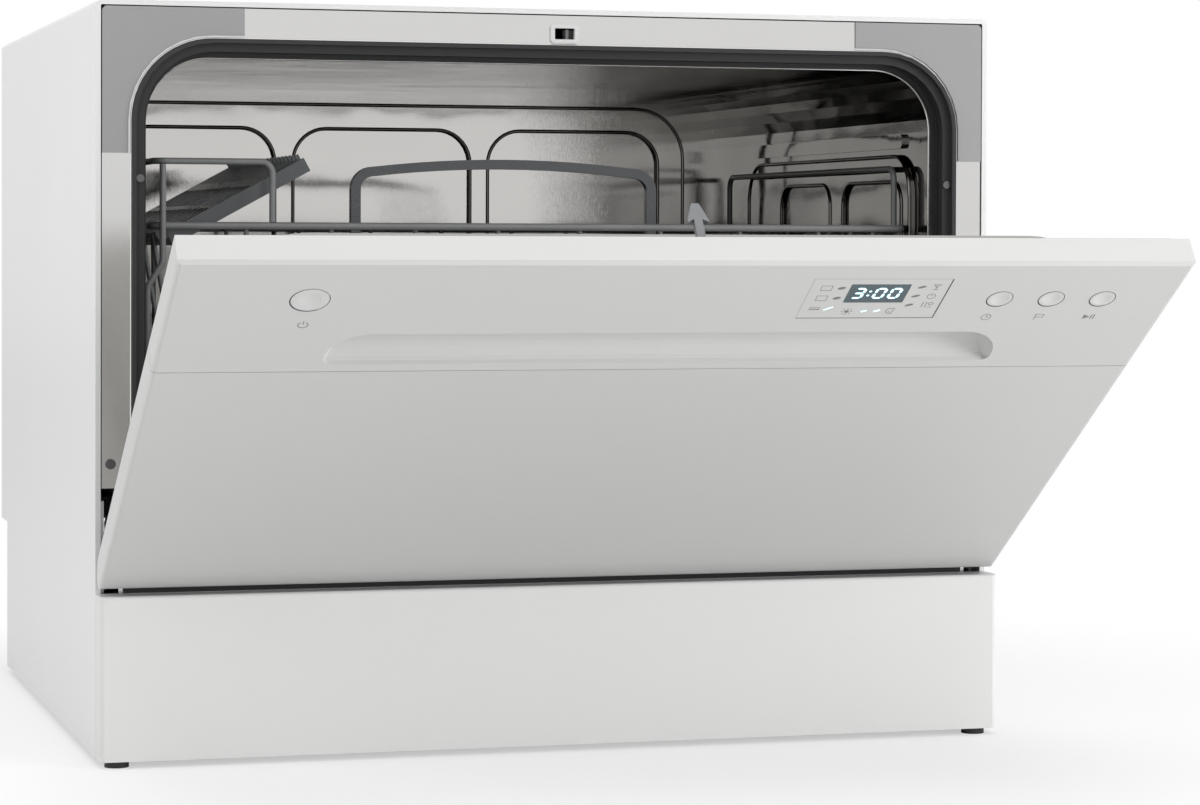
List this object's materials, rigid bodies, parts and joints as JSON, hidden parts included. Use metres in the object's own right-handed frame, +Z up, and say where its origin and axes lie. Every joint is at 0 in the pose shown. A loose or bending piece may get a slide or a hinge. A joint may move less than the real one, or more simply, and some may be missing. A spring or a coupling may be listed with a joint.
{
  "type": "countertop dishwasher",
  "caption": "Compact countertop dishwasher with a drop-down door standing half open, a wheeled wire rack, cutlery basket, folding cup shelf and spray arm.",
  "frame": {"origin": "on the worktop below the centre of the bounding box, with the door at its half-open rest pose", "axes": "+X to the right seen from the front, +Y from the door to the rear, +Z up"},
  "size_m": [0.55, 0.7701, 0.44],
  "materials": {
    "paint_silver": "satin",
    "paint_case": "satin",
    "zinc": "matte",
    "stainless": "bright",
    "steel_bright": "polished",
    "silver_plastic": "satin",
    "grey_plastic": "satin",
    "dark_plastic": "matte",
    "light_plastic": "satin",
    "white_plastic": "satin",
    "blue_grey": "satin",
    "nylon_grey": "satin",
    "rubber_black": "matte",
    "screen": "gloss",
    "board": "satin",
    "pump_dark": "matte"
  },
  "bodies": {
    "cabinet": {"cabinet_wrap": "paint_case", "rear_panel": "zinc", "base_tray": "dark_plastic", "plinth_panel": "paint_silver", "feet": "rubber_black", "front_frame": "stainless", "corner_cover_left": "grey_plastic", "corner_cover_right": "grey_plastic", "door_gasket": "rubber_black", "latch_bezel": "light_plastic", "latch_lock": "dark_plastic", "tub_wrap": "stainless", "tub_back": "stainless", "tub_floor": "stainless", "sump_housing": "dark_plastic", "filter_plate": "stainless", "spray_riser": "grey_plastic", "circulation_pump": "pump_dark", "drain_pump": "pump_dark", "drain_hose": "rubber_black", "inlet_valve": "white_plastic", "drain_spigot": "dark_plastic", "salt_container": "white_plastic", "cable_gland": "dark_plastic", "air_break": "white_plastic", "hinge_brackets": "zinc", "hinge_pins": "steel_bright", "door_springs": "steel_bright", "cabinet_screws": "steel_bright"},
    "door": {"door_outer_panel": "paint_silver", "control_panel": "silver_plastic", "door_inner_liner": "stainless", "display_window": "silver_plastic", "display_lcd": "screen", "control_board": "board", "latch_hook": "grey_plastic", "dispenser_body": "grey_plastic", "hinge_arms": "zinc", "door_screws": "steel_bright"},
    "catch": {"latch_catch": "white_plastic"},
    "power_key": {"power_button": "light_plastic"},
    "timer_key": {"timer_button": "light_plastic"},
    "program_key": {"program_button": "light_plastic"},
    "start_key": {"start_button": "light_plastic"},
    "lid": {"detergent_lid": "grey_plastic"},
    "rinse_plug": {"rinse_cap": "white_plastic"},
    "rack": {"rack_frame": "nylon_grey", "rack_wires": "nylon_grey", "rack_tines": "nylon_grey", "wheel_brackets": "grey_plastic"},
    "wheel_fl": {"wheel_front_left": "white_plastic"},
    "wheel_fr": {"wheel_front_right": "white_plastic"},
    "wheel_rl": {"wheel_rear_left": "white_plastic"},
    "wheel_rr": {"wheel_rear_right": "white_plastic"},
    "shelf": {"cup_shelf": "blue_grey"},
    "basket": {"cutlery_basket": "blue_grey"},
    "arm": {"spray_arm": "grey_plastic"},
    "filter": {"filter_cup": "grey_plastic"},
    "salt_plug": {"salt_cap": "white_plastic"}
  },
  "joints": [
    {"name": "door_hinge", "type": "hinge", "parent": "cabinet", "child": "door", "pos_m": [0, -0.10942, 0.109], "axis": [1, 0, 0], "range_deg": [-55.8, 34.2], "deforming": ["door_springs"]},
    {"name": "latch_catch_turn", "type": "hinge", "parent": "cabinet", "child": "catch", "pos_m": [0.0145, -0.06342, 0.4255], "axis": [0, 0, 1], "range_deg": [0, 12], "stiffness_Nm_per_rad": 0.4, "springref_deg": -8.59},
    {"name": "power_key_press", "type": "slide", "parent": "door", "child": "power_key", "axis": [0, 0.5621, 0.8271], "range_m": [0, 0.0018], "stiffness_N_per_m": 500, "springref_m": -0.002},
    {"name": "timer_key_press", "type": "slide", "parent": "door", "child": "timer_key", "axis": [0, 0.5621, 0.8271], "range_m": [0, 0.0018], "stiffness_N_per_m": 500, "springref_m": -0.002},
    {"name": "program_key_press", "type": "slide", "parent": "door", "child": "program_key", "axis": [0, 0.5621, 0.8271], "range_m": [0, 0.0018], "stiffness_N_per_m": 500, "springref_m": -0.002},
    {"name": "start_key_press", "type": "slide", "parent": "door", "child": "start_key", "axis": [0, 0.5621, 0.8271], "range_m": [0, 0.0018], "stiffness_N_per_m": 500, "springref_m": -0.002},
    {"name": "detergent_lid_hinge", "type": "hinge", "parent": "door", "child": "lid", "pos_m": [0.001, -0.1952, 0.20961], "axis": [-1, 0, 0], "range_deg": [0, 100]},
    {"name": "rinse_cap_turn", "type": "hinge", "parent": "door", "child": "rinse_plug", "pos_m": [0.075, -0.23626, 0.23993], "axis": [0, 0.5621, 0.8271], "range_deg": [0, 90]},
    {"name": "rack_slide", "type": "slide", "parent": "cabinet", "child": "rack", "axis": [0, -1, 0], "range_m": [0, 0.06]},
    {"name": "wheel_fl_spin", "type": "hinge", "parent": "rack", "child": "wheel_fl", "pos_m": [-0.2292, -0.00242, 0.158], "axis": [1, 0, 0], "continuous": true},
    {"name": "wheel_fr_spin", "type": "hinge", "parent": "rack", "child": "wheel_fr", "pos_m": [0.2292, -0.00242, 0.158], "axis": [1, 0, 0], "continuous": true},
    {"name": "wheel_rl_spin", "type": "hinge", "parent": "rack", "child": "wheel_rl", "pos_m": [-0.2292, 0.23058, 0.158], "axis": [1, 0, 0], "continuous": true},
    {"name": "wheel_rr_spin", "type": "hinge", "parent": "rack", "child": "wheel_rr", "pos_m": [0.2292, 0.23058, 0.158], "axis": [1, 0, 0], "continuous": true},
    {"name": "cup_shelf_fold", "type": "hinge", "parent": "rack", "child": "shelf", "pos_m": [-0.235, 0.08258, 0.3105], "axis": [0, -1, 0], "range_deg": [0, 42]},
    {"name": "cutlery_basket_lift", "type": "slide", "parent": "rack", "child": "basket", "axis": [0, 0, 1], "range_m": [0, 0.045]},
    {"name": "spray_arm_turn", "type": "hinge", "parent": "cabinet", "child": "arm", "pos_m": [0, 0.12358, 0.1415], "axis": [0, 0, 1], "continuous": true},
    {"name": "filter_cup_turn", "type": "hinge", "parent": "cabinet", "child": "filter", "pos_m": [0.104, 0.12358, 0.1245], "axis": [0, 0, 1], "range_deg": [0, 60]},
    {"name": "salt_cap_turn", "type": "hinge", "parent": "cabinet", "child": "salt_plug", "pos_m": [-0.15, 0.22558, 0.1245], "axis": [0, 0, 1], "range_deg": [0, 90]}
  ],
  "couplings": [
    {"joint": "wheel_fl_spin", "follows": "rack_slide", "rad_per_m": 83.333},
    {"joint": "wheel_fr_spin", "follows": "rack_slide", "rad_per_m": 83.333},
    {"joint": "wheel_rl_spin", "follows": "rack_slide", "rad_per_m": 83.333},
    {"joint": "wheel_rr_spin", "follows": "rack_slide", "rad_per_m": 83.333}
  ]
}
